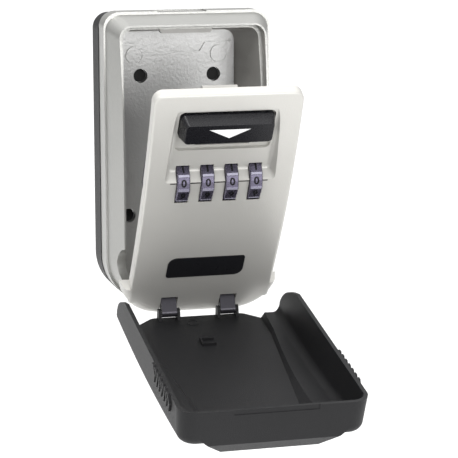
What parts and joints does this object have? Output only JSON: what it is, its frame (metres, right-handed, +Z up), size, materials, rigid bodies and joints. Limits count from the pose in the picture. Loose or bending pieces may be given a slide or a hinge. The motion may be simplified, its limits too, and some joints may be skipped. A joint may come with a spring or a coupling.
{
  "type": "key lock box",
  "caption": "Wall-mounted key safe: convex metal housing with a drop-down combination-lock door, a push-down latch button and a hinged black weather cover, shown open.",
  "frame": {"origin": "on the flat back face that meets the wall, midway between the housing's sides and 68.9 mm above its lowest point, which is half the body height", "axes": "+X to the right seen from the front, -Y out of the front, +Y into the wall, +Z up the wall"},
  "size_m": [0.0842, 0.1749, 0.1726],
  "materials": {
    "cast_metal": "satin silver-grey lacquer on a zinc casting",
    "door_metal": "satin silver-grey lacquer, slightly warmer than the housing",
    "black_plastic": "fine matte grain, moulded",
    "button_black": "satin black moulding",
    "arm_black": "dark satin coating, slightly worn at the edges",
    "dial_grey": "grey-violet satin rings with dark digits and pale bars",
    "cam_metal": "turned",
    "steel": "plain bright steel",
    "white_print": "white printed mark",
    "dark_print": "dark paint in a groove",
    "label_black": "blank black plate",
    "lock_back": "dark grey moulding"
  },
  "bodies": {
    "housing": {"rear_cover": "black_plastic", "rear_cover_screws": "steel", "housing_shell": "cast_metal", "strike_plate": "steel", "strike_screws": "steel", "door_hinge_pins": "steel"},
    "door": {"door_shell": "door_metal", "label_plate": "label_black", "index_line": "dark_print", "lock_cover": "lock_back", "lock_cover_screws": "steel", "dial_shaft": "steel", "detent_spring": "steel", "latch_springs": "steel", "hinge_arm_left": "arm_black", "hinge_arm_right": "arm_black", "hinge_arm_pins": "steel"},
    "latch": {"latch_button": "button_black", "arrow_inlay": "white_print", "latch_plate": "steel", "latch_screws": "steel"},
    "reset": {"reset_lever": "white_print"},
    "cover": {"cover_shell": "black_plastic", "cover_pins": "steel"},
    "dial_wheel_1": {"dial_1": "dial_grey", "dial_cam_1": "cam_metal"},
    "dial_wheel_2": {"dial_2": "dial_grey", "dial_cam_2": "cam_metal"},
    "dial_wheel_3": {"dial_3": "dial_grey", "dial_cam_3": "cam_metal"},
    "dial_wheel_4": {"dial_4": "dial_grey", "dial_cam_4": "cam_metal"}
  },
  "joints": [
    {"name": "door_hinge", "type": "hinge", "parent": "housing", "child": "door", "pos_m": [0, -0.028, -0.06407], "axis": [1, 0, 0], "range_deg": [-32.1, 0]},
    {"name": "cover_hinge", "type": "hinge", "parent": "door", "child": "cover", "pos_m": [0, -0.04264, -0.07027], "axis": [1, 0, 0], "range_deg": [-70.9, 45]},
    {"name": "latch_slide", "type": "slide", "parent": "door", "child": "latch", "axis": [0, 0.5314, -0.8471], "range_m": [-0.0012, 0.005], "stiffness_N_per_m": 400, "deforming": ["latch_springs"]},
    {"name": "dial_1_spin", "type": "hinge", "parent": "door", "child": "dial_wheel_1", "pos_m": [0, -0.07414, -0.0018], "axis": [1, 0, 0], "continuous": true},
    {"name": "dial_2_spin", "type": "hinge", "parent": "door", "child": "dial_wheel_2", "pos_m": [0, -0.07414, -0.0018], "axis": [1, 0, 0], "continuous": true},
    {"name": "dial_3_spin", "type": "hinge", "parent": "door", "child": "dial_wheel_3", "pos_m": [0, -0.07414, -0.0018], "axis": [1, 0, 0], "continuous": true},
    {"name": "dial_4_spin", "type": "hinge", "parent": "door", "child": "dial_wheel_4", "pos_m": [0, -0.07414, -0.0018], "axis": [1, 0, 0], "continuous": true},
    {"name": "reset_slide", "type": "slide", "parent": "door", "child": "reset", "axis": [1, 0, 0], "range_m": [0, 0.007]}
  ]
}
